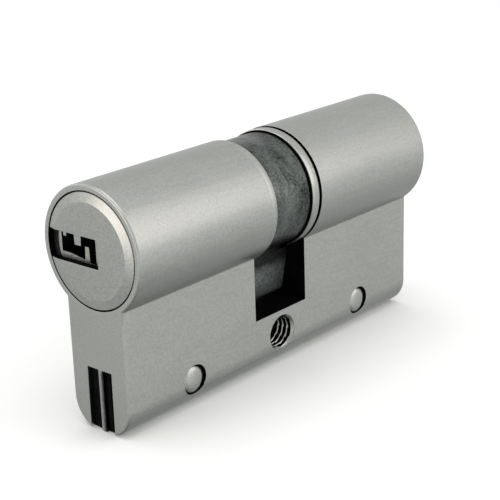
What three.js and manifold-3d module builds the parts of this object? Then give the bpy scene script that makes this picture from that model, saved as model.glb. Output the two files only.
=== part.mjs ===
// Double euro-profile lock cylinder, 30/30. Millimetres, +Z up.
// The origin is the centre of the cross-hole for the fixing screw. The plugs turn about the Y axis
// direction at z = AXIS_Z. The front key face is at -Y, the two long sides are +X and -X.
import * as THREE from 'three';
import { mergeVertices } from 'three/addons/utils/BufferGeometryUtils.js';
import Module from 'manifold-3d';

const wasm = await Module();
wasm.setup();
const { Manifold, Mesh } = wasm;

// ---- driving dimensions (mm) ----
const AXIS_Z = 19.4;          // plug axis above the fixing-screw axis
const HALF = 30;              // half length, screw axis to each end face
const BODY_R = 8.5;           // round part, 17 mm diameter
const STEM_X = 5;             // half width of the 10 mm stem
const BOTTOM = -24.5;         // stem foot below the plug axis, 33 mm over all
const FOOT_R = 4.2;           // corner radius of the stem foot
const EDGE = 0.3;             // broken edge of the end faces
const BORE_R = 6.55;          // plug bore
const SEAT_R = 7.68;          // counterbore for the plug's flange
const SEAT_DEPTH = 1.0;
const WIN_FRONT = -5.45;      // cam window, front wall
const WIN_REAR = 4.95;        // cam window, rear wall
const STEM_WIN_REAR = 5.2;     // the same in the stem, cut a little wider
const WIN_FLOOR = -15.86;     // cam window floor, below the plug axis
const SLOT_X = 2.17;          // half width of the bar slot in the stem
const SLOT_TOP = -15.72;
// plugs
const PLUG_R = 6.5;
const FLANGE_R = 7.6;
const FLANGE_T = 0.75;
const FACE_FLAT_R = 6.35;     // flat middle of the key face, bevelled outside it
const FACE_BEVEL = 0.05;      // outer edge of that bevel, below the end of the housing
const PLUG_PROUD = 0.27;      // flat middle, proud of the end of the housing
const FRONT_PLUG_END = -3.0;
const REAR_PLUG_END = 1.5;
const GROOVE_R = 5.55;
const DRIVE_SLOT_Z = 1.55;    // half width of the slot that takes the half-clutch
const DRIVE_SLOT_DEPTH = 3.6;
// pin stacks
const PIN_X = -1.0;           // row of pin chambers, offset towards the keyway
const CHAMBER_R = 1.2;
const PIN_R = 1.15;
const PIN_Y = [8.8, 12.6, 16.4, 20.2, 24.0];
const KEY_PIN_TIP = [0.1, -0.8, 0.0, -0.5, 0.3];
const KEY_PIN_FOOT = -6.0;
const DRIVER_TOP = -6.6;
const DRIVER_LEN = 4.2;
const SPRING_R = 0.92;        // mean coil radius
const WIRE_R = 0.13;
const SPRING_TURNS = 4;
// security bar
const BAR_TOP = -15.8;
const BAR_FOOT = -24.2;
const LAM_PITCH = 0.87;
const LAM_T = 0.83;
const LAM_END = [28.4, 28.7, 29.4, 28.7, 28.4];
const PIN_HOLE_Y = 17.85;
const PIN_HOLE_Z = -20.1;
const THRU_PIN_R = 2.05;
const SCREW_R = 2.1;          // minor radius of the M5 thread
const SCREW_RIM_R = 2.66;
// hardened pins
const GUARD_Y = 27.3;
const GUARD_R = 1.15;
// cam
const CAM_R = 8.05;
const CAM_Y0 = -4.4;
const CAM_Y1 = 2.9;
const CAM_BORE_R = 6.6;
const WEB_R = 5.0;            // inner land that carries the clutch keyways
const WEB_Y0 = -1.85;
const WEB_Y1 = 0.35;
const LEVER_TIP_R = 15.1;
const LEVER_HALF = 3.9;
const LEVER_Y0 = -4.9;
const LEVER_Y1 = 4.7;
const LEVER_ROOT_R = 8.7;     // the wings of the lever pass over the retaining rings
const LEVER_LEAN = THREE.MathUtils.degToRad(-10); // lean of the lever towards -X
// half-clutches
const LUG_R = 6.2;
const LUG_Z = 1.35;           // half width of the lugs and tongues
const HUB_R = 3.5;
// retaining rings
const RING_IN_R = 5.62;
const RING_OUT_R = 8.42;
const FRONT_RING = [-5.37, -4.48];
const REAR_RING = [3.12, 4.45];
const RING_GAP = THREE.MathUtils.degToRad(70);

// ---- helpers ----
function solid(geometry) {
  const g = geometry.clone();
  g.deleteAttribute('normal');
  g.deleteAttribute('uv');
  const m = mergeVertices(g, 1e-4);
  const idx = m.index.array;
  return new Manifold(new Mesh({
    numProp: 3,
    vertProperties: new Float32Array(m.attributes.position.array),
    triVerts: new Uint32Array(idx),
  }));
}

// z here and in every helper below is measured from the plug axis
function box(x0, x1, y0, y1, z0, z1) {
  const g = new THREE.BoxGeometry(x1 - x0, y1 - y0, z1 - z0);
  g.translate((x0 + x1) / 2, (y0 + y1) / 2, (z0 + z1) / 2 + AXIS_Z);
  return solid(g);
}

// closed body of revolution; profile is [radius, height] from the axis round to the axis
function lathe(profile, seg) {
  return new THREE.LatheGeometry(profile.map(([r, h]) => new THREE.Vector2(r, h)), seg);
}

function lathY(profile, seg, x = 0, z = 0) {
  const g = lathe(profile, seg);
  g.translate(x, 0, z + AXIS_Z);
  return solid(g);
}

function cylY(r, y0, y1, seg, x = 0, z = 0) {
  return lathY([[0, y0], [r, y0], [r, y1], [0, y1]], seg, x, z);
}

function lathZ(profile, seg, x, y) {
  const g = lathe(profile, seg);
  g.rotateX(Math.PI / 2);
  g.translate(x, y, AXIS_Z);
  return solid(g);
}

function cylZ(r, z0, z1, seg, x, y) {
  return lathZ([[0, z0], [r, z0], [r, z1], [0, z1]], seg, x, y);
}

function lathX(profile, seg, y, z) {
  const g = lathe(profile, seg);
  g.rotateZ(-Math.PI / 2);
  g.translate(0, y, z + AXIS_Z);
  return solid(g);
}

function cylX(r, x0, x1, seg, y, z) {
  return lathX([[0, x0], [r, x0], [r, x1], [0, x1]], seg, y, z);
}

// points along an arc in the X-Z plane
function arc(cx, cz, r, from, to, n) {
  const out = [];
  for (let i = 0; i <= n; i++) {
    const t = from + (to - from) * (i / n);
    out.push([cx + r * Math.cos(t), cz + r * Math.sin(t)]);
  }
  return out;
}

// a closed outline of [x, z] points, pulled along Y
function pullY(points, y0, y1, bevel = 0) {
  const shape = new THREE.Shape(points.map(([x, z]) => new THREE.Vector2(x, z)));
  const g = new THREE.ExtrudeGeometry(shape, {
    depth: y1 - y0 - 2 * bevel,
    curveSegments: 1,
    bevelEnabled: bevel > 0,
    bevelThickness: bevel,
    bevelSize: bevel,
    bevelOffset: -bevel,
    bevelSegments: 1,
  });
  g.rotateX(Math.PI / 2);
  g.translate(0, y1 - bevel, AXIS_Z);
  return solid(g);
}

function turnY(m, angle) {
  // turn about the plug axis; a positive angle carries -Z towards -X
  const c = Math.cos(angle), s = Math.sin(angle);
  return m.translate([0, 0, -AXIS_Z])
    .transform([c, 0, -s, 0, 0, 1, 0, 0, s, 0, c, 0, 0, 0, 0, 1])
    .translate([0, 0, AXIS_Z]);
}

const group = new THREE.Group();
group.name = 'euro_cylinder';
const SATIN = { color: 0xa9a6a0, metalness: 1, roughness: 0.36 };
const BRIGHT = { color: 0xc4c1bb, metalness: 1, roughness: 0.28 };
const STEEL = { color: 0x8d8f92, metalness: 1, roughness: 0.3 };
const DARK = { color: 0x34383d, metalness: 1, roughness: 0.5 };
const BLACK = { color: 0x1b1c1e, metalness: 0.9, roughness: 0.5 };
const BRASS = { color: 0xb89a55, metalness: 1, roughness: 0.35 };

function put(name, m, mat) {
  const mesh = m.getMesh();
  const g = new THREE.BufferGeometry();
  const pos = [];
  for (let i = 0; i < mesh.triVerts.length; i++) {
    const v = mesh.triVerts[i] * mesh.numProp;
    pos.push(mesh.vertProperties[v], mesh.vertProperties[v + 1], mesh.vertProperties[v + 2]);
  }
  g.setAttribute('position', new THREE.Float32BufferAttribute(pos, 3));
  g.computeVertexNormals();
  const node = new THREE.Mesh(g, new THREE.MeshStandardMaterial(mat));
  node.material.name = name;
  node.name = name;
  group.add(node);
}

// ---- housing ----
const cornerZ = -Math.sqrt(BODY_R ** 2 - STEM_X ** 2);
const a0 = Math.atan2(cornerZ, STEM_X);
const outline = [
  ...arc(0, 0, BODY_R, a0, Math.PI - a0, 44),
  ...arc(-STEM_X + FOOT_R, BOTTOM + FOOT_R, FOOT_R, Math.PI, 1.5 * Math.PI, 7),
  ...arc(STEM_X - FOOT_R, BOTTOM + FOOT_R, FOOT_R, 1.5 * Math.PI, 2 * Math.PI, 7),
];

let body = pullY(outline, -HALF, HALF, EDGE);
body = body.subtract(cylY(BORE_R, -HALF - 1, HALF + 1, 64));
for (const s of [-1, 1]) {
  const yIn = s * (HALF - SEAT_DEPTH), yOut = s * (HALF + 1);
  body = body.subtract(cylY(SEAT_R, Math.min(yIn, yOut), Math.max(yIn, yOut), 64));
}
body = body.subtract(box(-12, 12, WIN_FRONT, WIN_REAR, WIN_FLOOR, 12));
body = body.subtract(box(-12, 12, WIN_REAR - 0.5, STEM_WIN_REAR, WIN_FLOOR, -6.95));
body = body.subtract(box(-SLOT_X, SLOT_X, -HALF - 1, HALF + 1, BOTTOM - 1, SLOT_TOP));
for (const s of [-1, 1]) {
  for (const y of PIN_Y) body = body.subtract(cylZ(CHAMBER_R, SLOT_TOP - 1, -4, 12, PIN_X, s * y));
  body = body.subtract(cylZ(GUARD_R + 0.03, SLOT_TOP - 1, -8.0, 20, 0, s * GUARD_Y));
  body = body.subtract(cylX(THRU_PIN_R + 0.04, -7, 7, 28, s * PIN_HOLE_Y, PIN_HOLE_Z));
}
const rim = SCREW_RIM_R - SCREW_R;
body = body.subtract(lathX([[0, -6], [SCREW_RIM_R + 1, -6], [SCREW_RIM_R, -STEM_X], [SCREW_R, -STEM_X + rim],
  [SCREW_R, STEM_X - rim], [SCREW_RIM_R, STEM_X], [SCREW_RIM_R + 1, 6], [0, 6]], 28, 0, -AXIS_Z));
put('cylinder_body', body, SATIN);

// ---- security bar: five steel strips side by side, and its two through pins ----
const LAM_NAME = ['bar_strip_1', 'bar_strip_2', 'bar_strip_3', 'bar_strip_4', 'bar_strip_5'];
LAM_NAME.forEach((name, i) => {
  const xc = (i - 2) * LAM_PITCH;
  const end = LAM_END[i];
  let strip = box(xc - LAM_T / 2, xc + LAM_T / 2, -end, end, BAR_FOOT, BAR_TOP);
  for (const s of [-1, 1]) strip = strip.subtract(cylX(THRU_PIN_R + 0.03, -4, 4, 28, s * PIN_HOLE_Y, PIN_HOLE_Z));
  strip = strip.subtract(cylX(SCREW_R, -4, 4, 28, 0, -AXIS_Z));
  put(name, strip, BLACK);
});
const dome = [];
const DOME_H = 1.1;
const DOME_R = (THRU_PIN_R ** 2 + DOME_H ** 2) / (2 * DOME_H);
for (let k = 0; k <= 3; k++) {
  const t = Math.asin(THRU_PIN_R / DOME_R) * (k / 3);
  dome.push([DOME_R * Math.sin(t), STEM_X - 0.02 - DOME_R * (1 - Math.cos(t))]);
}
for (const [s, name] of [[-1, 'bar_pin_front'], [1, 'bar_pin_rear']]) {
  const left = dome.map(([r, h]) => [r, -h]);
  const right = [...dome].reverse();
  put(name, lathX([...left, ...right], 28, s * PIN_HOLE_Y, PIN_HOLE_Z), STEEL);
}

// ---- plugs ----
const keyway = [[-5.95, -1.46], [-1.82, -1.79], [-1.72, 0.13], [-1.05, 0.13], [-0.95, -1.86], [0.2, -1.95],
  [0.2, 1.8], [-2.4, 1.8], [-2.5, 0.03], [-3.6, 0.03], [-3.7, 1.8], [-5.03, 1.8], [-5.1, 0.86],
  [-5.58, 0.86], [-5.66, 1.8], [-5.95, 1.8]];

function plug(s, inner, ring) {
  // written for the front plug (s = -1) and mirrored in Y for the rear one
  const face = s * HALF;
  const at = (d) => face - s * d;           // a depth measured in from the key face
  const profile = [[0, at(-PLUG_PROUD)], [FACE_FLAT_R, at(-PLUG_PROUD)], [FLANGE_R, at(FACE_BEVEL)], [FLANGE_R, at(FLANGE_T)],
    [PLUG_R, at(FLANGE_T)], [PLUG_R, inner + s * 0.25], [PLUG_R - 0.25, inner], [0, inner]];
  let m = lathY(s < 0 ? profile : profile.reverse(), 64);
  // groove for the retaining ring
  const g0 = ring[0] - 0.04, g1 = ring[1] + 0.04;
  m = m.subtract(lathY([[GROOVE_R, g0], [PLUG_R + 1, g0], [PLUG_R + 1, g1], [GROOVE_R, g1], [GROOVE_R, g0]], 64));
  // key opening in the flange, then the warded keyway right through
  m = m.subtract(box(-9, 1.5, Math.min(at(-1), at(FLANGE_T)), Math.max(at(-1), at(FLANGE_T)), -2.0, 1.8));
  m = m.subtract(pullY(keyway, Math.min(face, inner) - 1, Math.max(face, inner) + 1));
  // slot for the tongue of the half-clutch
  const d1 = inner + s * DRIVE_SLOT_DEPTH;
  m = m.subtract(box(-8, 8, Math.min(inner - s, d1), Math.max(inner - s, d1), -DRIVE_SLOT_Z, DRIVE_SLOT_Z));
  for (const y of PIN_Y) m = m.subtract(cylZ(CHAMBER_R, -8, 1.0, 12, PIN_X, s * y));
  m = m.subtract(cylZ(0.83, -3.6, 8, 16, 3.4, s * 27.2));
  return m;
}
const frontPlug = plug(-1, FRONT_PLUG_END, FRONT_RING);
const rearPlug = plug(1, REAR_PLUG_END, REAR_RING);
put('front_plug', frontPlug, BRIGHT);
put('rear_plug', rearPlug, BRIGHT);

// ---- retaining rings, open towards the lever ----
const ringMid = -Math.PI / 2 + LEVER_LEAN;
const ringOutline = [
  ...arc(0, 0, RING_OUT_R, ringMid + RING_GAP / 2, ringMid - RING_GAP / 2 + 2 * Math.PI, 36),
  ...arc(0, 0, RING_IN_R, ringMid - RING_GAP / 2 + 2 * Math.PI, ringMid + RING_GAP / 2, 36),
];
put('front_retaining_ring', pullY(ringOutline, FRONT_RING[0], FRONT_RING[1]), STEEL);
put('rear_retaining_ring', pullY(ringOutline, REAR_RING[0], REAR_RING[1]), BRIGHT);

// ---- cam ----
const tipA = Math.asin((LEVER_HALF - 0.5) / LEVER_TIP_R);
const tipZ = -Math.sqrt(LEVER_TIP_R ** 2 - (LEVER_HALF - 0.5) ** 2);
const rootZ = -Math.sqrt(LEVER_ROOT_R ** 2 - LEVER_HALF ** 2);
const rootA = Math.atan2(rootZ, LEVER_HALF);
const leverOutline = [
  [-LEVER_HALF, tipZ + 0.5],
  ...arc(0, 0, LEVER_TIP_R, -Math.PI / 2 - tipA, -Math.PI / 2 + tipA, 8),
  [LEVER_HALF, tipZ + 0.5],
  ...arc(0, 0, LEVER_ROOT_R, rootA, -Math.PI - rootA, 10),
];
let cam = cylY(CAM_R, CAM_Y0, CAM_Y1, 64);
let lever = pullY(leverOutline, LEVER_Y0, LEVER_Y1);
lever = lever.add(box(-LEVER_HALF, LEVER_HALF, CAM_Y0 + 0.02, CAM_Y1 - 0.02, -10, -6.9));
cam = cam.add(lever);
cam = cam.subtract(cylY(CAM_BORE_R, CAM_Y0 - 1, WEB_Y0, 64));
cam = cam.subtract(cylY(CAM_BORE_R, WEB_Y1, CAM_Y1 + 1, 64));
cam = cam.subtract(cylY(WEB_R, WEB_Y0 - 0.1, WEB_Y1 + 0.1, 64));
cam = turnY(cam, -LEVER_LEAN);
cam = cam.subtract(box(-LUG_R - 0.2, LUG_R + 0.2, WEB_Y0 - 0.1, WEB_Y1 + 0.1, -LUG_Z - 0.12, LUG_Z + 0.12));
put('cam', cam, DARK);

// ---- half-clutches: tongue in the plug's slot, two lugs for the cam's keyways, a hub between them ----
function clutch(lo, hi, hubEnd, tongueEnd) {
  const mid = (lo + hi) / 2;
  const spanY = (end) => [Math.min(end, mid), Math.max(end, mid)];
  let m = cylY(4.7, lo, hi, 32).add(
    cylY(LUG_R, lo, hi, 48).intersect(box(-8, 8, lo - 1, hi + 1, -LUG_Z, LUG_Z)));
  m = m.add(cylY(HUB_R, ...spanY(hubEnd), 32));
  return m.add(box(-5.0, 5.0, ...spanY(tongueEnd), -LUG_Z, LUG_Z));
}
put('front_half_clutch', clutch(-1.75, -0.75, -0.17, -5.2), STEEL);
put('rear_half_clutch', clutch(0.45, 1.45, -0.13, 4.9), STEEL);

// ---- hardened pins ----
for (const [s, side] of [[-1, 'front'], [1, 'rear']]) {
  put(`${side}_body_guard_pin`, cylZ(GUARD_R, -15.66, -8.1, 20, 0, s * GUARD_Y), STEEL);
  put(`${side}_plug_guard_pin`, cylZ(0.8, -3.5, 4.6, 16, 3.4, s * 27.2), STEEL);
}

// ---- pin stacks ----
function coil(x, y, z0, z1) {
  const turns = SPRING_TURNS, per = 8, sides = 4;
  const n = Math.round(turns * per);
  const lo = z0 + WIRE_R, hi = z1 - WIRE_R;
  const verts = [], tris = [];
  for (let i = 0; i <= n; i++) {
    const f = i / n, t = 2 * Math.PI * turns * f;
    // closed end coils: the pitch eases off near both ends
    const e = f - Math.sin(2 * Math.PI * f) / (2 * Math.PI) * 0.55;
    const zc = lo + (hi - lo) * e;
    for (let k = 0; k < sides; k++) {
      const p = 2 * Math.PI * k / sides;
      const r = SPRING_R + WIRE_R * Math.cos(p);
      verts.push(x + r * Math.cos(t), y + r * Math.sin(t), zc + WIRE_R * Math.sin(p) + AXIS_Z);
    }
  }
  for (let i = 0; i < n; i++) {
    for (let k = 0; k < sides; k++) {
      const a = i * sides + k, b = i * sides + (k + 1) % sides, c = a + sides, d = b + sides;
      tris.push(a, c, b, b, c, d);
    }
  }
  for (let k = 1; k < sides - 1; k++) {
    tris.push(0, k, k + 1);
    tris.push(n * sides, n * sides + k + 1, n * sides + k);
  }
  const g = new THREE.BufferGeometry();
  g.setAttribute('position', new THREE.Float32BufferAttribute(verts, 3));
  g.setIndex(tris);
  return solid(g);
}

for (const [s, side] of [[-1, 'front'], [1, 'rear']]) {
  PIN_Y.forEach((py, i) => {
    const y = s * py, tip = KEY_PIN_TIP[i], n = i + 1;
    put(`${side}_key_pin_${n}`, lathZ([[0, KEY_PIN_FOOT], [0.55, KEY_PIN_FOOT], [PIN_R, KEY_PIN_FOOT + 0.25],
      [PIN_R, tip - 0.75], [0.4, tip], [0, tip]], 12, PIN_X, y), BRASS);
    const foot = DRIVER_TOP - DRIVER_LEN;
    put(`${side}_driver_pin_${n}`, lathZ([[0, foot], [0.85, foot], [PIN_R, foot + 0.25], [PIN_R, DRIVER_TOP - 0.2],
      [0.85, DRIVER_TOP], [0, DRIVER_TOP]], 12, PIN_X, y), STEEL);
    put(`${side}_spring_${n}`, coil(PIN_X, y, BAR_TOP + 0.02, foot - 0.02), BRIGHT);
  });
}

export default group;
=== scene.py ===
import math

import bmesh
import bpy
from mathutils import Matrix, Vector


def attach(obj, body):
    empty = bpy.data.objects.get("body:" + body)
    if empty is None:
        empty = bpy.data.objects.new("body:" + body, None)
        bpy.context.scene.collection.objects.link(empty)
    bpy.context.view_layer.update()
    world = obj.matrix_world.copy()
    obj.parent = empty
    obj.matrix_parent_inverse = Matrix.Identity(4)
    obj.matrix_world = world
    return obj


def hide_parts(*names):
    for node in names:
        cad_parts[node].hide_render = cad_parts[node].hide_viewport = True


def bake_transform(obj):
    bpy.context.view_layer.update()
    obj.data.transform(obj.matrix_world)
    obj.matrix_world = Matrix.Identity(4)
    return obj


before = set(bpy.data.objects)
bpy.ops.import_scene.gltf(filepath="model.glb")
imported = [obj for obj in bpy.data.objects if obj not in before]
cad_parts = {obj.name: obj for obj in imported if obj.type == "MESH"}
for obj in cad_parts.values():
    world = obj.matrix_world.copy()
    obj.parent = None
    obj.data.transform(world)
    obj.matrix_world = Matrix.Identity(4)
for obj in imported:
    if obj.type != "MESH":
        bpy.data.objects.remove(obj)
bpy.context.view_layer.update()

# Everything is drawn in millimetres from the plug axis (x, y, z above the axis) and brought to
# metres in the part's frame at the end, by done().
AX = 19.4
HALF = 30.0
COL = bpy.context.scene.collection


# ---------------------------------------------------------------- mesh helpers
def make(name, verts, faces):
    me = bpy.data.meshes.new(name)
    me.from_pydata([tuple(v) for v in verts], [], faces)
    ob = bpy.data.objects.new(name, me)
    COL.objects.link(ob)
    bm = bmesh.new()
    bm.from_mesh(me)
    bmesh.ops.recalc_face_normals(bm, faces=bm.faces)
    bm.to_mesh(me)
    bm.free()
    return ob


def place(axis, r, t, h, c):
    """a point of a body of revolution: radius r, angle t, height h along axis, centre c"""
    a, b = r * math.cos(t), r * math.sin(t)
    if axis == "Y":
        return (c[0] + a, h, c[1] + b)
    if axis == "X":
        return (h, c[0] + a, c[1] + b)
    return (c[0] + a, c[1] + b, h)


def lathe(name, prof, seg=96, axis="Y", c=(0.0, 0.0), closed=False, turn=0.0):
    verts, faces, rings = [], [], []
    for r, h in prof:
        if r < 1e-9:
            rings.append([len(verts)])
            verts.append(place(axis, 0, 0, h, c))
        else:
            rings.append(list(range(len(verts), len(verts) + seg)))
            for k in range(seg):
                verts.append(place(axis, r, turn + 2 * math.pi * k / seg, h, c))
    pairs = list(zip(rings, rings[1:]))
    if closed:
        pairs.append((rings[-1], rings[0]))
    for a, b in pairs:
        for k in range(seg):
            j = (k + 1) % seg
            if len(a) == 1 and len(b) == 1:
                continue
            if len(a) == 1:
                faces.append((a[0], b[k], b[j]))
            elif len(b) == 1:
                faces.append((a[k], b[0], a[j]))
            else:
                faces.append((a[k], b[k], b[j], a[j]))
    return make(name, verts, faces)


def cyl(name, r, h0, h1, seg=64, axis="Y", c=(0.0, 0.0)):
    return lathe(name, [(0, h0), (r, h0), (r, h1), (0, h1)], seg, axis, c)


def soften(prof, r, steps=3):
    """rounds the corners of a lathe profile that are not on the axis"""
    out = [prof[0]]
    for i in range(1, len(prof) - 1):
        p0, p, p1 = Vector(prof[i - 1]), Vector(prof[i]), Vector(prof[i + 1])
        a, b = p0 - p, p1 - p
        d = min(r, a.length * 0.45, b.length * 0.45)
        if a.length < 1e-9 or b.length < 1e-9 or abs(a.angle(b) - math.pi) < 0.12:
            out.append(tuple(p))
            continue
        s, e = p + a.normalized() * d, p + b.normalized() * d
        for k in range(steps + 1):
            t = k / steps
            out.append(tuple(s * (1 - t) ** 2 + p * 2 * t * (1 - t) + e * t * t))
    out.append(prof[-1])
    return out


def loft(name, rings, cap=True):
    """rings: lists of points with one count; the ends are closed with flat faces"""
    n = len(rings[0])
    verts = [p for ring in rings for p in ring]
    faces = []
    for i in range(len(rings) - 1):
        for k in range(n):
            j = (k + 1) % n
            faces.append((i * n + k, (i + 1) * n + k, (i + 1) * n + j, i * n + j))
    if cap:
        faces.append(tuple(range(n)))
        faces.append(tuple(range((len(rings) - 1) * n, len(rings) * n)))
    return make(name, verts, faces)


def prism(name, pts, y0, y1):
    return loft(name, [[(x, y0, z) for x, z in pts], [(x, y1, z) for x, z in pts]])


def block(name, x0, x1, y0, y1, z0, z1):
    return prism(name, [(x0, z0), (x1, z0), (x1, z1), (x0, z1)], y0, y1)


def arc(cx, cz, r, a, b, n):
    return [(cx + r * math.cos(a + (b - a) * i / n), cz + r * math.sin(a + (b - a) * i / n)) for i in range(n + 1)]


def settle(ob):
    """writes the modifiers' result into the mesh"""
    dg = bpy.context.evaluated_depsgraph_get()
    me = bpy.data.meshes.new_from_object(ob.evaluated_get(dg), preserve_all_data_layers=True, depsgraph=dg)
    old = ob.data
    ob.modifiers.clear()
    ob.data = me
    me.name = ob.name
    bpy.data.meshes.remove(old)


def join(name, obs):
    bm = bmesh.new()
    for o in obs:
        bm.from_mesh(o.data)
        bpy.data.objects.remove(o, do_unlink=True)
    me = bpy.data.meshes.new(name)
    bm.to_mesh(me)
    bm.free()
    ob = bpy.data.objects.new(name, me)
    COL.objects.link(ob)
    return ob


def boolean(ob, tool, op="DIFFERENCE"):
    m = ob.modifiers.new("cut", "BOOLEAN")
    m.operation = op
    m.solver = "EXACT"
    m.object = tool
    settle(ob)
    bpy.data.objects.remove(tool, do_unlink=True)
    return ob


def clean(ob, dist=0.004):
    bm = bmesh.new()
    bm.from_mesh(ob.data)
    bmesh.ops.remove_doubles(bm, verts=bm.verts, dist=dist)
    bmesh.ops.dissolve_degenerate(bm, edges=bm.edges, dist=dist)
    loose = [v for v in bm.verts if not v.link_faces]
    bmesh.ops.delete(bm, geom=loose, context="VERTS")
    bm.to_mesh(ob.data)
    bm.free()


def round_edges(ob, width, pick, angle=28, segments=3):
    """rounds the sharp edges that pick(edge) says yes to; a number gives a part of the width"""
    bm = bmesh.new()
    bm.from_mesh(ob.data)
    layer = bm.edges.layers.float.get("bevel_weight_edge") or bm.edges.layers.float.new("bevel_weight_edge")
    n = 0
    for e in bm.edges:
        e[layer] = 0.0
        if len(e.link_faces) == 2 and e.calc_face_angle(0.0) > math.radians(angle):
            e[layer] = float(pick(e))
            n += e[layer] > 0
    bm.to_mesh(ob.data)
    bm.free()
    if not n:
        return
    m = ob.modifiers.new("round", "BEVEL")
    m.limit_method = "WEIGHT"
    m.width = width
    m.segments = segments
    m.use_clamp_overlap = False
    m.miter_outer = "MITER_SHARP"
    settle(ob)


def shade(ob, angle=32):
    me = ob.data
    me.polygons.foreach_set("use_smooth", [True] * len(me.polygons))
    me.set_sharp_from_angle(angle=math.radians(angle))
    m = ob.modifiers.new("normals", "WEIGHTED_NORMAL")
    m.keep_sharp = True
    m.weight = 80
    settle(ob)


def done(ob, body, mats, node, smooth=32, weighted=True):
    """to metres and into the part's frame, with its finish, its body and the solid it stands for"""
    me = ob.data
    me.transform(Matrix.Translation((0, 0, AX / 1000)) @ Matrix.Scale(0.001, 4))
    if weighted:
        shade(ob, smooth)
    else:
        me.polygons.foreach_set("use_smooth", [True] * len(me.polygons))
        me.set_sharp_from_angle(angle=math.radians(smooth))
    me = ob.data
    if not me.materials:
        for m in mats:
            me.materials.append(m)
    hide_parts(*([node] if isinstance(node, str) else node))
    if isinstance(body, tuple):
        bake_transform(ob)
    else:
        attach(ob, body)
    return ob


# ---------------------------------------------------------------- materials
class Nodes:
    def __init__(self, name):
        self.m = bpy.data.materials.new(name)
        self.m.use_nodes = True
        self.t = self.m.node_tree
        self.b = self.t.nodes["Principled BSDF"]
        self.co = self.t.nodes.new("ShaderNodeTexCoord")

    @classmethod
    def over(cls, m):
        """goes on with a material made before"""
        k = cls.__new__(cls)
        k.m, k.t = m, m.node_tree
        k.b = k.t.nodes["Principled BSDF"]
        k.co = next(n for n in k.t.nodes if n.type == "TEX_COORD")
        return k

    def fade(self, along, zero, stops, wander):
        """multiplies the base colour by a tone that goes by the distance along a direction"""
        d = {"X": (1, 0, 0), "Z": (0, 0, 1)}.get(along, along)
        dp = self.new("ShaderNodeVectorMath", operation="DOT_PRODUCT")
        dp.inputs[1].default_value = d
        self.link(self.co.outputs["Object"], dp.inputs[0])
        n = self.noise((700,) * 3, 3, 0.6, shift=(5, 1, 8))
        h = self.math("ADD", dp.outputs["Value"], self.range(n, -wander, wander))
        lo, hi = stops[0][0], stops[-1][0]
        f = self.math("DIVIDE", self.math("SUBTRACT", h, zero + lo), hi - lo)
        tone = self.ramp(f, [((p - lo) / (hi - lo), (v, v, v)) for p, v in stops])
        old = self.b.inputs["Base Color"].links[0].from_socket
        self.link(self.mix(1.0, old, tone, "MULTIPLY"), self.b.inputs["Base Color"])

    def new(self, kind, **kw):
        n = self.t.nodes.new(kind)
        for k, v in kw.items():
            if k in n.inputs:
                n.inputs[k].default_value = v
            else:
                setattr(n, k, v)
        return n

    def link(self, a, b):
        self.t.links.new(a, b)

    def noise(self, scale, detail=3.0, rough=0.55, dist=0.0, shift=(0, 0, 0)):
        """noise with its own scale along each axis, in waves per metre"""
        mp = self.new("ShaderNodeMapping")
        mp.inputs["Scale"].default_value = scale
        mp.inputs["Location"].default_value = shift
        self.link(self.co.outputs["Object"], mp.inputs["Vector"])
        n = self.new("ShaderNodeTexNoise")
        n.inputs["Scale"].default_value = 1.0
        n.inputs["Detail"].default_value = detail
        n.inputs["Roughness"].default_value = rough
        n.inputs["Distortion"].default_value = dist
        self.link(mp.outputs["Vector"], n.inputs["Vector"])
        return n.outputs["Fac"]

    def ramp(self, fac, stops):
        r = self.new("ShaderNodeValToRGB")
        el = r.color_ramp.elements
        while len(el) < len(stops):
            el.new(0.5)
        for e, (p, c) in zip(el, stops):
            e.position = p
            e.color = (*c, 1) if len(c) == 3 else c
        self.link(fac, r.inputs["Fac"])
        return r.outputs["Color"]

    def range(self, fac, lo, hi, a=0.3, b=0.7):  # a, b: the part of fac that is used
        r = self.new("ShaderNodeMapRange")
        r.inputs["From Min"].default_value = a
        r.inputs["From Max"].default_value = b
        r.inputs["To Min"].default_value = lo
        r.inputs["To Max"].default_value = hi
        self.link(fac, r.inputs["Value"])
        return r.outputs["Result"]

    def mix(self, fac, a, b, mode="MIX"):
        n = self.new("ShaderNodeMix", data_type="RGBA", blend_type=mode)
        for sock, v in ((n.inputs[0], fac), (n.inputs[6], a), (n.inputs[7], b)):
            if isinstance(v, (int, float)):
                sock.default_value = v
            elif isinstance(v, tuple):
                sock.default_value = (*v, 1)
            else:
                self.link(v, sock)
        return n.outputs[2]

    def math(self, op, a, b):
        n = self.new("ShaderNodeMath", operation=op)
        for sock, v in ((n.inputs[0], a), (n.inputs[1], b)):
            if isinstance(v, (int, float)):
                sock.default_value = v
            else:
                self.link(v, sock)
        return n.outputs[0]

    def bump(self, height, strength, distance):
        n = self.new("ShaderNodeBump")
        n.inputs["Strength"].default_value = strength
        n.inputs["Distance"].default_value = distance
        self.link(height, n.inputs["Height"])
        self.link(n.outputs["Normal"], self.b.inputs["Normal"])


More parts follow.
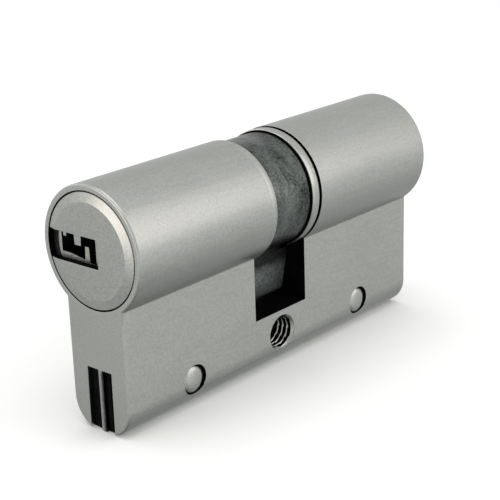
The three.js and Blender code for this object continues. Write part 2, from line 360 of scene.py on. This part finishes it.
def satin(name, base, rough, streak=(2600, 200, 2600), grain=4300, tone=0.13, bump=0.42, blotch=0.06, line=0.25):
    """satin metal plate: fine drawn lines, a grain, and slow changes of tone"""
    k = Nodes(name)
    lines = k.noise(streak, 4, 0.6)
    fine = k.noise((grain,) * 3, 2, 0.5, shift=(3, 7, 1))
    slow = k.noise((95, 60, 95), 3, 0.5, shift=(11, 2, 5))
    both = k.math("ADD", k.math("MULTIPLY", lines, line), k.math("MULTIPLY", fine, 1 - line))
    lo = tuple(c * (1 - tone) for c in base)
    hi = tuple(min(1, c * (1 + tone)) for c in base)
    col = k.ramp(both, [(0.32, lo), (0.68, hi)])
    g = k.ramp(slow, [(0.3, (1 - blotch,) * 3), (0.7, (1.0,) * 3)])
    k.link(k.mix(1.0, col, g, "MULTIPLY"), k.b.inputs["Base Color"])
    k.link(k.range(both, rough - 0.05, rough + 0.05), k.b.inputs["Roughness"])
    k.b.inputs["Metallic"].default_value = 1.0
    k.bump(both, bump, 0.00002)
    return k.m


def dark_metal(name, lo, hi, rough, scale=(260, 260, 260), metal=0.85, bump=0.3, spec=0.5, fine_w=0.28, grain=4200):
    """blackened steel, and near-black painted shade: cloudy tone with paler rubbed patches and a fine pitted grain
    """
    k = Nodes(name)
    cloud = k.noise(scale, 6, 0.62, 0.6, shift=(2, 4, 9))
    fine = k.noise((grain,) * 3, 3, 0.6)
    both = k.math("ADD", k.math("MULTIPLY", cloud, 1 - fine_w), k.math("MULTIPLY", fine, fine_w))
    k.link(k.ramp(both, [(0.36, lo), (0.52, tuple((a + b) / 2 for a, b in zip(lo, hi))), (0.66, hi)]), k.b.inputs["Base Color"])
    k.link(k.range(both, rough + 0.1, rough - 0.08, 0.35, 0.65), k.b.inputs["Roughness"])
    k.b.inputs["Metallic"].default_value = metal
    k.b.inputs["Specular IOR Level"].default_value = spec
    k.bump(fine, bump, 0.00002)
    return k.m


NICKEL = (0.424, 0.431, 0.411)
M_BODY = satin("satin_nickel", NICKEL, 0.38)
# painted shade: the long sides darken a little towards the rounded foot
Nodes.over(M_BODY).fade((0.0, 0.0, -1.0), -0.0194, ((0.0140, 1.0), (0.0185, 0.97), (0.0203, 0.94), (0.0225, 0.93), (0.0245, 0.90)), 0.0002)
M_FACE = satin("plug_nickel", (0.424, 0.431, 0.413), 0.34, streak=(1500, 1500, 1500), grain=3600, tone=0.15, bump=0.5, blotch=0.08)
# painted shade: near black and barely reflecting, for the faces that lie in shadow
M_PAINTED_SHADE = dark_metal("bore_painted_shade", (0.001, 0.001, 0.0011), (0.0035, 0.0035, 0.0037), 0.8, metal=0.0, spec=0.03)
# painted shade: dark grey for the recessed seat faces
M_SEAT_SHADE = dark_metal("seat_painted_shade", (0.012, 0.012, 0.012), (0.06, 0.06, 0.058), 0.5, scale=(900, 900, 900), metal=0.7, bump=0.5)
M_THREAD = satin("thread_steel", (0.34, 0.35, 0.335), 0.22, tone=0.12, line=0.6)
M_BLACK = dark_metal("blued_steel", (0.0009, 0.0009, 0.0009), (0.004, 0.004, 0.004), 0.65, scale=(200, 40, 900), metal=0.0, spec=0.035)
M_CORE = satin("bar_core_steel", (0.40, 0.41, 0.405), 0.34, streak=(2600, 2600, 90), tone=0.12)
# painted shade: the middle strip goes from bright at its -X edge to nearly black at its +X edge
core_shade = Nodes.over(M_CORE)
core_shade.fade("X", 0.0, ((-0.00020, 1.0), (0.00012, 0.42), (0.00034, 0.06)), 0.00012)
M_PIN = satin("pin_nickel", (0.43, 0.43, 0.415), 0.33, streak=(2600, 2600, 2600))
M_RING = satin("ring_steel", (0.46, 0.46, 0.445), 0.3, streak=(500, 2600, 500))
M_CAM = dark_metal("sintered_steel", (0.006, 0.008, 0.0078), (0.19, 0.208, 0.197), 0.34, scale=(120, 260, 120), metal=0.92, fine_w=0.42, grain=2900)
# painted light: a lighter copy of the cam's steel for the lever's faces
M_LEVER_LIT = dark_metal("lever_painted_light", (0.08, 0.09, 0.088), (0.36, 0.385, 0.37), 0.45, scale=(300, 300, 300), metal=0.92, fine_w=0.5, grain=2900)
# painted shadow: black on the lower ring and round the root of the lever
LEAN = math.radians(10)
TO_LEVER = (-math.sin(LEAN), 0.0, -math.cos(LEAN))
for m in (M_CAM, M_LEVER_LIT):
    Nodes.over(m).fade(TO_LEVER, -0.0194 * math.cos(LEAN), ((0.0, 1.0), (0.0022, 0.95), (0.0046, 0.12), (0.0090, 0.10), (0.0106, 0.9), (0.016, 1.0)), 0.0004)
M_CLUTCH = satin("clutch_steel", (0.36, 0.36, 0.37), 0.32, streak=(1500, 1500, 1500))
M_HARD = satin("hardened_steel", (0.42, 0.42, 0.43), 0.22, streak=(900, 900, 3000))
M_BRASS = satin("pin_brass", (0.62, 0.44, 0.19), 0.26, streak=(700, 700, 3400))
M_WIRE = satin("spring_wire", (0.5, 0.49, 0.47), 0.25, streak=(2000, 2000, 2000))

# ---------------------------------------------------------------- housing
BODY_R, STEM_X, BOTTOM, FOOT_R = 8.5, 5.0, -24.5, 4.2
WIN0, WIN1, STEM_WIN1, FLOOR = -5.45, 4.95, 5.2, -15.86
SLOT_X, SLOT_TOP = 2.17, -15.72
PIN_X, PIN_Y = -1.0, (8.8, 12.6, 16.4, 20.2, 24.0)
HOLE_Y, HOLE_Z = 17.85, -20.1


def outline(d=0.0):
    """the euro section, drawn in by d all round"""
    r, s = BODY_R - d, STEM_X - d
    zc = -math.sqrt(r * r - s * s)
    a0 = math.atan2(zc, s)
    f = FOOT_R - d
    return (
        arc(0, 0, r, a0, math.pi - a0, 168)
        + [(-s, zc + (BOTTOM + FOOT_R - zc) * k / 6) for k in range(1, 6)]
        + arc(-STEM_X + FOOT_R, BOTTOM + FOOT_R, f, math.pi, 1.5 * math.pi, 22)
        + arc(STEM_X - FOOT_R, BOTTOM + FOOT_R, f, 1.5 * math.pi, 2 * math.pi, 22)
        + [(s, BOTTOM + FOOT_R + (zc - BOTTOM - FOOT_R) * k / 6) for k in range(1, 6)]
    )


def thread_tool(name, x0, x1, minor=2.1, major=2.5, pitch=0.8, rim=2.66, seg=72, step=0.08):
    """the space of a tapped hole along X: a helical groove and a countersunk mouth at each side"""
    n = int(round((x1 - x0) / step))
    rings = []
    for i in range(n + 1):
        x = x0 + (x1 - x0) * i / n
        ring = []
        for k in range(seg):
            t = 2 * math.pi * k / seg
            ph = (x / pitch - t / (2 * math.pi)) % 1.0
            w = 1 - abs(2 * ph - 1)
            w = min(1.0, max(0.0, (w - 0.12) / 0.76))
            r = minor + (major - minor) * w
            r = max(r, rim - max(0.0, (STEM_X - abs(x))) * 1.0)
            ring.append((x, r * math.cos(t), -AX + r * math.sin(t)))
        rings.append(ring)
    return loft(name, rings)


R_IN, R_BACK = 0.32, 0.36  # the soft edge round each end: how far in, how far back
ends = [(-HALF + R_BACK * (1 - math.sin(math.pi / 2 * (7 - k) / 7)), R_IN * (1 - math.cos(math.pi / 2 * (7 - k) / 7))) for k in range(8)]
ring_y = ends + [(-y, d) for y, d in reversed(ends)]
housing = loft("cylinder_housing", [[(x, y, z) for x, z in outline(d)] for y, d in ring_y])
SEAT = 7.68
bore = [(0, -31), (SEAT, -31), (SEAT, -29), (6.55, -29), (6.55, 29), (SEAT, 29), (SEAT, 31), (0, 31)]
boolean(housing, lathe("t", bore, 168))
boolean(housing, block("t", -12, 12, WIN0, WIN1, FLOOR, 12))
boolean(housing, block("t", -12, 12, WIN1 - 0.5, STEM_WIN1, FLOOR, -6.8))
boolean(housing, block("t", -SLOT_X, SLOT_X, -31, 31, BOTTOM - 1, SLOT_TOP))
tools = []
for s in (-1, 1):
    for y in PIN_Y:
        tools.append(cyl("t", 1.2, SLOT_TOP - 0.5, -5.2, 32, "Z", (PIN_X, s * y)))
    tools.append(cyl("t", 1.18, SLOT_TOP - 0.5, -8.0, 32, "Z", (0, s * 27.3)))
    tools.append(cyl("t", 2.07, -7, 7, 72, "X", (s * HOLE_Y, HOLE_Z)))
tools.append(thread_tool("t", -6.0, 6.0))
boolean(housing, join("t", tools))
clean(housing)


def on_skin(co):
    """is this point on the outside of the plain bar that the housing is cut from"""
    x, y, z = co
    if abs(abs(y) - HALF) < 0.01:
        return True
    r = math.hypot(x, z)
    if z > -6.9 and abs(r - BODY_R) < 0.03:
        return True
    if z <= -6.85 and abs(abs(x) - STEM_X) < 0.01:
        return True
    for sx in (-1, 1):
        q = math.hypot(x - sx * (STEM_X - FOOT_R), z - BOTTOM - FOOT_R)
        if z < BOTTOM + FOOT_R + 0.01 and abs(q - FOOT_R) < 0.03:
            return True
    return abs(z - BOTTOM) < 0.01


def outer_edge(e):
    a, b = e.verts
    if not (on_skin(a.co) and on_skin(b.co)):
        return False
    m = (a.co + b.co) / 2
    if abs(m.y - WIN0) < 0.02 and m.z > -6.8:
        return False  # the front ring closes up to this edge
    if m.z < -23.5 and abs(abs(m.x) - SLOT_X) < 0.1:
        return False
    if math.hypot(abs(m.y) - HOLE_Y, m.z - HOLE_Z) < 2.2:
        return 0.4
    if abs(abs(m.y) - HALF) < 0.02 and m.z > -7.8 and math.hypot(m.x, m.z) < SEAT + 0.06:
        return 0.35
    # the mouth of the tapped hole has its own countersink
    return math.hypot(m.y, m.z + AX) > 3.0 or abs(abs(m.x) - STEM_X) > 0.05


round_edges(housing, 0.13, outer_edge, 30, 3)

# finishes: skin, painted shade (near black) on the inside faces, tapped hole, dark grey painted shade on the seat
me = housing.data
for m in (M_BODY, M_PAINTED_SHADE, M_THREAD, M_SEAT_SHADE):
    me.materials.append(m)


def face_kind(p):
    c = p.center
    r = math.hypot(c.x, c.z)
    n = p.normal
    q = math.hypot(c.y, c.z + AX)
    if q < 2.72 and abs(c.x) < STEM_X - 0.005:
        # bright crests and mouth, roots in painted shade (black)
        return 2 if q < 2.2 or abs(c.x) > STEM_X - 0.6 and abs(n.x) > 0.5 else 1
    if abs(c.y) < HALF - 0.25:
        if r < 7.72 and c.z > -7.7 and n.x * c.x + n.z * c.z < -0.2:
            return 1
        if WIN0 - 0.05 < c.y < (WIN1 if c.z > -7 else STEM_WIN1) + 0.05:
            if c.z > FLOOR - 0.1:
                return 1
        if abs(c.x) < SLOT_X + 0.035 and c.z < SLOT_TOP + 0.05:
            return 1
        if math.hypot(abs(c.y) - HOLE_Y, c.z - HOLE_Z) < 2.12 and abs(c.x) < STEM_X - 0.14:
            return 1
        for y in PIN_Y + (27.3,):
            if abs(abs(c.y) - y) < 1.25 and abs(c.x + (1.0 if y < 27 else 0.0)) < 1.25 and -16 < c.z < -4:
                return 1
    # painted shade: dark grey on the counterbore floor and on the bore wall seen through the key opening, black on
    # the rest of the bore wall
    if abs(abs(c.y) - (HALF - 1.0)) < 0.02 and r < 7.7:
        return 3
    if r < SEAT + 0.01 and abs(c.y) < HALF - 0.06 and c.z > -7.7 and n.x * c.x + n.z * c.z < -0.2:
        return 3 if c.x < -6.5 and -2.6 < c.z < 2.4 else 1
    if abs(c.x) < SLOT_X + 0.01 and c.z < SLOT_TOP + 0.02 and abs(c.y) < HALF - 0.16 and c.z > -24.1:
        return 1
    return 0


for p in me.polygons:
    p.material_index = face_kind(p)
done(housing, "housing", [], "cylinder_body")

# ---------------------------------------------------------------- steel bar
ends_y = (29.3, 29.38, 29.78, 29.38, 29.3)
for i in range(5):
    xc = (i - 2) * 0.87
    strip = block(f"bar_{i + 1}", xc - 0.415, xc + 0.415, -ends_y[i], ends_y[i], -24.28, -15.8)
    cut = [cyl("t", 2.08, -4, 4, 56, "X", (s * HOLE_Y, HOLE_Z)) for s in (-1, 1)]
    cut.append(thread_tool("t", -6.0, 6.0))
    boolean(strip, join("t", cut))
    clean(strip, 0.002)

    def long_edge(e, xc=xc):
        a, b = e.verts
        return all(abs(abs(v.co.x - xc) - 0.415) < 0.004 for v in (a, b)) and min(
            math.hypot((a.co.y + b.co.y) / 2 - s * HOLE_Y, (a.co.z + b.co.z) / 2 - HOLE_Z) for s in (-1, 1)
        ) > 2.3 and math.hypot((a.co.y + b.co.y) / 2, (a.co.z + b.co.z) / 2 + AX) > 2.7

    round_edges(strip, 0.06, long_edge, 40, 2)
    done(strip, "housing", [M_CORE if i == 2 else M_BLACK], f"bar_strip_{i + 1}")

DOME_H, PR = 0.72, 2.055
for s, side in ((-1, "front"), (1, "rear")):
    prof = []
    for k in range(25):
        q = math.sin(math.pi / 2 * k / 24)
        prof.append((PR * q, STEM_X - 0.02 - DOME_H * (0.4 * q ** 2 + 0.6 * q ** 6)))
    prof = [(r, -h) for r, h in prof] + list(reversed(prof))
    pin = lathe(f"bar_pin_dome_{side}", prof, 96, "X", (s * HOLE_Y, HOLE_Z))
    done(pin, "housing", [M_PIN], f"bar_pin_{side}")

# ---------------------------------------------------------------- plugs
KEYWAY = [(-5.95, -1.2), (-4.4, -1.22), (-1.82, -1.62), (-1.72, 0.13), (-1.05, 0.13), (-0.95, -1.86), (0.2, -1.95), (0.2, 1.8), (-2.4, 1.8),
          (-2.5, 0.03), (-3.6, 0.03), (-3.7, 1.8), (-5.03, 1.8), (-5.1, 0.86), (-5.58, 0.86), (-5.66, 1.8), (-5.95, 1.8)]


PROUD = 0.27


def plug(name, s, inner, ring):
    face = s * HALF

    def at(d):
        return face - s * d

    g0, g1 = (ring[0] - 0.04, ring[1] + 0.04)
    near, far = (g0, g1) if s < 0 else (g1, g0)
    prof = [(0, at(-PROUD)), (6.3, at(-PROUD))]
    for k in range(1, 6):  # the turned bevel round the key face, slightly crowned
        t = k / 5
        prof.append((6.3 + 1.14 * t, at(-PROUD + 0.005 + 0.3 * t)))
    prof += [(7.49, at(0.08)), (7.52, at(0.16)), (7.52, at(0.72)), (7.49, at(0.75)), (6.5, at(0.75)), (6.5, near), (5.55, near), (5.55, far),
             (6.5, far), (6.5, inner + s * 0.25), (6.25, inner), (0, inner)]
    ob = lathe(name, prof, 168)
    lo, hi = sorted((at(-1.5), at(0.75)))
    boolean(ob, block("t", -9, 1.5, lo, hi, -2.0, 1.8))
    boolean(ob, prism("t", KEYWAY, min(face, inner) - 1, max(face, inner) + 1))
    lo, hi = sorted((inner - s, inner + s * 3.6))
    boolean(ob, block("t", -8, 8, lo, hi, -1.55, 1.55))
    holes = [cyl("t", 1.2, -8, 1.0, 32, "Z", (PIN_X, s * y)) for y in PIN_Y]
    holes.append(cyl("t", 0.83, -3.6, 8, 28, "Z", (3.4, s * 27.2)))
    boolean(ob, join("t", holes))
    clean(ob)

    def mouth(e):
        a, b = e.verts
        return all(abs(v.co.y - face) < 0.35 for v in (a, b)) and all(
            -2.05 < v.co.z < 1.85 and v.co.x < 1.55 for v in (a, b)) and math.hypot(a.co.x, a.co.z) < 7.5

    round_edges(ob, 0.07, mouth, 40, 2)
    me = ob.data
    me.materials.append(M_FACE)
    me.materials.append(M_PAINTED_SHADE)
    # painted shade (black) on the keyway and on the faces below the key face
    for p in me.polygons:
        c = p.center
        d = (c.y - face) * -s
        inside = -2.02 < c.z < 1.82 and c.x < 1.52
        if d > 0.9 or (inside and d > -0.12) or d > 0.745 and math.hypot(c.x, c.z) > 6.5:
            p.material_index = 1
        if inside and 0.6 < d < 0.9 and abs(p.normal.y) > 0.9:
            p.material_index = 0
    return ob


front = plug("plug_front", -1, -3.0, (-5.37, -4.48))
done(front, "front_plug", [], "front_plug", 9)
rear = plug("plug_rear", 1, 1.5, (3.12, 4.45))
done(rear, "rear_plug", [], "rear_plug", 9)


# ---------------------------------------------------------------- retaining rings
def c_ring(name, y0, y1, r_in, r_out, soft, mats):
    mid, gap = math.radians(-100), math.radians(70)
    a, b = mid + gap / 2, mid - gap / 2 + 2 * math.pi
    sec = soften([((r_in + r_out) / 2, y0), (r_out, y0), (r_out, y1), (r_in, y1), (r_in, y0), ((r_in + r_out) / 2, y0)], soft)[:-1]
    n = 150
    rings = []
    for i in range(n + 1):
        t = a + (b - a) * i / n
        rings.append([(r * math.cos(t), y, r * math.sin(t)) for r, y in sec])
    ob = loft(name, rings)
    for m in mats:
        ob.data.materials.append(m)
    for p in ob.data.polygons:  # the flanks lie in the gaps and take painted shade (black)
        c = p.center
        if abs(p.normal.y) > 0.9 and math.hypot(c.x, c.z) < r_out - soft * 0.9:
            p.material_index = 1
    return ob


r1 = c_ring("retaining_ring_front", -5.449, -4.48, 5.62, 8.495, 0.1, (M_BODY, M_PAINTED_SHADE))
done(r1, "front_plug", [], "front_retaining_ring")
r2 = c_ring("retaining_ring_rear", 3.16, 4.56, 5.62, 8.42, 0.14, (M_RING, M_PAINTED_SHADE))
done(r2, "rear_plug", [], "rear_retaining_ring")

# ---------------------------------------------------------------- cam
LT, LH, LRoot = 15.1, 3.9, 8.7


def lever_outline(d=0.0):
    h, rt, rr = LH - d, LT - d, LRoot + d * 0.2
    ta = math.asin((LH - 0.75) / LT)
    zt = -rt * math.cos(ta)
    zr = -math.sqrt(rr * rr - h * h)
    ra = math.atan2(zr, h)
    tip = arc(0, 0, rt, -math.pi / 2 - ta, -math.pi / 2 + ta, 26)
    cr = []
    for k in range(1, 6):
        t = k / 6
        p0, p1, p2 = Vector((-h, zt + 0.85)), Vector((-h, zt + 0.12)), Vector(tip[0])
        cr.append(tuple(p0 * (1 - t) ** 2 + p1 * 2 * t * (1 - t) + p2 * t * t))
    left = [(-h, zr + (zt + 0.85 - zr) * k / 5) for k in range(1, 6)] + cr
    right = [(-x, z) for x, z in reversed(left)]
    return left + tip + right + arc(0, 0, rr, ra, -math.pi - ra, 30)


def soft_levels(y0, y1, r, n=4):
    lo = [(y0 + r - r * math.sin(math.pi / 2 * (n - k) / n), r - r * math.cos(math.pi / 2 * (n - k) / n)) for k in range(n + 1)]
    return lo + [(y1 + y0 - y, d) for y, d in reversed(lo)]


cam = lathe("cam_ring", soften([(0, -4.4), (8.05, -4.4), (8.05, 2.9), (0, 2.9)], 0.1, 3), 168)
lever = loft("t", [[(x, y, z) for x, z in lever_outline(d)] for y, d in soft_levels(-4.9, 4.7, 0.28)])
boolean(cam, lever, "UNION")
boolean(cam, block("t", -3.88, 3.88, -4.3, 2.8, -9.2, -7.0), "UNION")
boolean(cam, lathe("t", [(0, -6), (6.6, -6), (6.6, -1.85), (5.0, -1.85), (5.0, 0.35), (6.6, 0.35), (6.6, 4), (0, 4)], 120))
cam.data.transform(Matrix.Rotation(math.radians(10), 4, "Y"))
boolean(cam, block("t", -6.4, 6.4, -1.95, 0.45, -1.47, 1.47))
clean(cam)
for m in (M_CAM, M_LEVER_LIT, M_PAINTED_SHADE):
    cam.data.materials.append(m)
for p in cam.data.polygons:
    c, n = p.center, p.normal
    r = math.hypot(c.x, c.z)
    # painted light: the lever's faces take the lighter copy of the cam's steel
    if c.z < -8.1 and r > 8.75:
        p.material_index = 1
    # painted shade (black) on the ring's rear flank
    elif abs(n.y) > 0.95 and c.y > 2.8 and r < 8.05:
        p.material_index = 2
done(cam, "cam", [], "cam", 40)


# ---------------------------------------------------------------- half-clutches
def clutch(name, lo, hi, hub, tongue):
    mid = (lo + hi) / 2
    ob = lathe(name, soften([(0, lo), (4.7, lo), (4.7, hi), (0, hi)], 0.12), 96)
    lugs = lathe("t", soften([(0, lo), (6.2, lo), (6.2, hi), (0, hi)], 0.12), 96)
    boolean(lugs, block("t", -8, 8, lo - 1, hi + 1, -1.35, 1.35), "INTERSECT")
    boolean(ob, lugs, "UNION")
    a, b = sorted((hub, mid))
    boolean(ob, lathe("t", soften([(0, a), (3.5, a), (3.5, b), (0, b)], 0.15), 72), "UNION")
    a, b = sorted((tongue, mid))
    boolean(ob, block("t", -5.0, 5.0, a, b, -1.35, 1.35), "UNION")
    clean(ob)
    round_edges(ob, 0.1, lambda e: all(abs(v.co.y - mid) > 0.6 for v in e.verts) and all(abs(v.co.y - tongue) < 3.3 for v in e.verts) and max(abs(v.co.x) for v in e.verts) > 3.6 or all(abs(v.co.y - tongue) < 0.02 for v in e.verts), 40, 2)
    return ob


done(clutch("half_clutch_front", -1.75, -0.75, -0.17, -5.2), "front_half_clutch", [M_CLUTCH], "front_half_clutch")
done(clutch("half_clutch_rear", 0.45, 1.45, -0.13, 4.9), "rear_half_clutch", [M_CLUTCH], "rear_half_clutch")


# ---------------------------------------------------------------- pins and springs
def coil(name, x, y, z0, z1, mean=0.92, wire=0.13, turns=4, per=26, sides=9):
    n = int(turns * per)
    lo, hi = z0 + wire, z1 - wire
    rings = []
    for i in range(n + 1):
        f = i / n
        t = 2 * math.pi * turns * f
        e = f - math.sin(2 * math.pi * f) / (2 * math.pi) * 0.55
        zc = lo + (hi - lo) * e
        ring = []
        for k in range(sides):
            p = 2 * math.pi * k / sides
            r = mean + wire * math.cos(p)
            ring.append((x + r * math.cos(t), y + r * math.sin(t), zc + wire * math.sin(p)))
        rings.append(ring)
    return loft(name, rings)


TIP = (0.1, -0.8, 0.0, -0.5, 0.3)
for s, side in ((-1, "front"), (1, "rear")):
    g = lathe(f"guard_body_{side}", soften([(0, -15.66), (1.15, -15.66), (1.15, -8.1), (0, -8.1)], 0.25), 48, "Z", (0, s * 27.3))
    done(g, "housing", [M_HARD], f"{side}_body_guard_pin")
    g = lathe(f"guard_plug_{side}", soften([(0, -3.5), (0.8, -3.5), (0.8, 4.6), (0, 4.6)], 0.2), 40, "Z", (3.4, s * 27.2))
    done(g, f"{side}_plug", [M_HARD], f"{side}_plug_guard_pin")
    for i, py in enumerate(PIN_Y):
        n, y, tip = i + 1, s * py, TIP[i]
        key = lathe(f"pin_key_{side}_{n}", soften([(0, -6.0), (0.55, -6.0), (1.15, -5.75), (1.15, tip - 0.75), (0.4, tip), (0, tip)], 0.12), 48, "Z", (PIN_X, y))
        done(key, f"{side}_key_pin_{n}", [M_BRASS], f"{side}_key_pin_{n}")
        foot = -10.8
        drv = lathe(f"pin_driver_{side}_{n}", soften([(0, foot), (0.85, foot), (1.15, foot + 0.25), (1.15, -6.8), (0.85, -6.6), (0, -6.6)], 0.1), 48, "Z", (PIN_X, y))
        done(drv, f"{side}_driver_pin_{n}", [M_HARD], f"{side}_driver_pin_{n}")
        sp = coil(f"spring_{side}_{n}", PIN_X, y, -15.78, foot - 0.02)
        # the foot of the spring sits on the bar, its top under the driver
        ends_at = [(PIN_X / 1000, y / 1000, (z + AX) / 1000) for z in (-15.5, foot - 0.3)]
        done(sp, ("housing", f"{side}_driver_pin_{n}", *ends_at), [M_WIRE], f"{side}_spring_{n}", 60)

# ---------------------------------------------------------------- stage, light, camera
FLOOR_Z = -0.00493
floor = make("floor", [(-1.5, -1.5, FLOOR_Z), (1.5, -1.5, FLOOR_Z), (1.5, 1.5, FLOOR_Z), (-1.5, 1.5, FLOOR_Z)], [(0, 1, 2, 3)])
fm = bpy.data.materials.new("floor_pale")
fm.use_nodes = True
fb = fm.node_tree.nodes["Principled BSDF"]
fb.inputs["Base Color"].default_value = (0.9, 0.9, 0.9, 1)
fb.inputs["Roughness"].default_value = 0.9
fb.inputs["Specular IOR Level"].default_value = 0.0
floor.data.materials.append(fm)
floor.visible_glossy = False  # the metal mirrors the studio below the horizon, not the white sheet

world = bpy.data.worlds.new("studio")
bpy.context.scene.world = world
world.use_nodes = True
wt = world.node_tree
wc = wt.nodes.new("ShaderNodeTexCoord")
ws = wt.nodes.new("ShaderNodeSeparateXYZ")
wm = wt.nodes.new("ShaderNodeMapRange")
wm.inputs["From Min"].default_value = -1.0
wt.links.new(wc.outputs["Generated"], ws.inputs["Vector"])
wt.links.new(ws.outputs["Z"], wm.inputs["Value"])
wr = wt.nodes.new("ShaderNodeValToRGB")
stops = ((0.0, 0.26), (0.15, 0.50), (0.33, 0.755), (0.5, 0.90), (0.6, 0.86), (1.0, 0.84))
while len(wr.color_ramp.elements) < len(stops):
    wr.color_ramp.elements.new(0.5)
for e, (pos, v) in zip(wr.color_ramp.elements, stops):
    e.position = pos
    e.color = (v * (0.965 if pos < 0.4 else 0.99), v, v * 0.985, 1)
wt.links.new(wm.outputs["Result"], wr.inputs["Fac"])
wcol = wr.outputs["Color"]
for az, el, reach, gain, warm in ((42, -18, 0.76, 0.26, 1), (108, -12, 0.84, 0.34, 1), (-21, 3, 0.905, 2.0, 1.8), (224, 24, 0.80, -0.13, 1), (-46, -20, 0.86, -0.15, 1), (-54, -44, 0.92, 0.2, 1)):  # broad pale patches of the studio
    a, e = math.radians(az), math.radians(el)
    dp = wt.nodes.new("ShaderNodeVectorMath")
    dp.operation = "DOT_PRODUCT"
    dp.inputs[1].default_value = (math.sin(a) * math.cos(e), -math.cos(a) * math.cos(e), math.sin(e))
    wt.links.new(wc.outputs["Generated"], dp.inputs[0])
    mr = wt.nodes.new("ShaderNodeMapRange")
    mr.interpolation_type = "SMOOTHSTEP"
    mr.inputs["From Min"].default_value = reach
    wt.links.new(dp.outputs["Value"], mr.inputs["Value"])
    ad = wt.nodes.new("ShaderNodeMix")
    ad.data_type = "RGBA"
    ad.blend_type = "ADD" if gain > 0 else "SUBTRACT"
    g = abs(gain)
    ad.inputs[7].default_value = (g, g * (1 - 0.045 * warm), g * (1 - 0.095 * warm), 1)
    wt.links.new(mr.outputs["Result"], ad.inputs[0])
    wt.links.new(wcol, ad.inputs[6])
    wcol = ad.outputs[2]
wt.links.new(wcol, wt.nodes["Background"].inputs["Color"])
wt.nodes["Background"].inputs["Strength"].default_value = 1.0

CENTRE = Vector((0.0, 0.0, 0.012))


def softbox(name, az, el, dist, w, h, power, colour=(1, 1, 1)):
    a, e = math.radians(az), math.radians(el)
    d = Vector((math.sin(a) * math.cos(e), -math.cos(a) * math.cos(e), math.sin(e)))
    lt = bpy.data.lights.new(name, "AREA")
    lt.shape = "RECTANGLE"
    lt.size, lt.size_y = w, h
    lt.energy = power
    lt.color = colour
    ob = bpy.data.objects.new(name, lt)
    COL.objects.link(ob)
    ob.location = CENTRE + d * dist
    ob.rotation_mode = "QUATERNION"
    ob.rotation_quaternion = (-d).to_track_quat("-Z", "Y")
    return ob


softbox("key", 118, 28, 0.5, 0.38, 0.46, 0.66, (1.0, 0.95, 0.92))
softbox("front", -16, 20, 0.5, 0.24, 0.17, 0.16, (1.0, 0.955, 0.92))
softbox("left", -88, 30, 0.5, 0.26, 0.26, 0.2, (1.0, 0.98, 0.96))
softbox("top", 0, 86, 0.55, 0.5, 0.5, 1.1)

AZ, EL, ROLL, DIST = math.radians(41.329), math.radians(18.942), math.radians(-1.872), 0.175726
TARGET = Vector((0.005558, -0.006913, 0.014278))
back = Vector((math.sin(AZ) * math.cos(EL), -math.cos(AZ) * math.cos(EL), math.sin(EL)))
right = Vector((math.cos(AZ), math.sin(AZ), 0))
up = back.cross(right)
rr = right * math.cos(ROLL) + up * math.sin(ROLL)
uu = up * math.cos(ROLL) - right * math.sin(ROLL)
cd = bpy.data.cameras.new("camera")
cd.sensor_width = 36
cd.lens = 1325.92 / 500 * 36
cd.clip_start, cd.clip_end = 0.005, 20
cam_ob = bpy.data.objects.new("camera", cd)
COL.objects.link(cam_ob)
cam_ob.matrix_world = Matrix((
    (rr.x, uu.x, back.x, TARGET.x + back.x * DIST),
    (rr.y, uu.y, back.y, TARGET.y + back.y * DIST),
    (rr.z, uu.z, back.z, TARGET.z + back.z * DIST),
    (0, 0, 0, 1),
))
bpy.context.scene.camera = cam_ob
bpy.context.scene.view_settings.view_transform = "Standard"
bpy.context.scene.view_settings.look = "None"
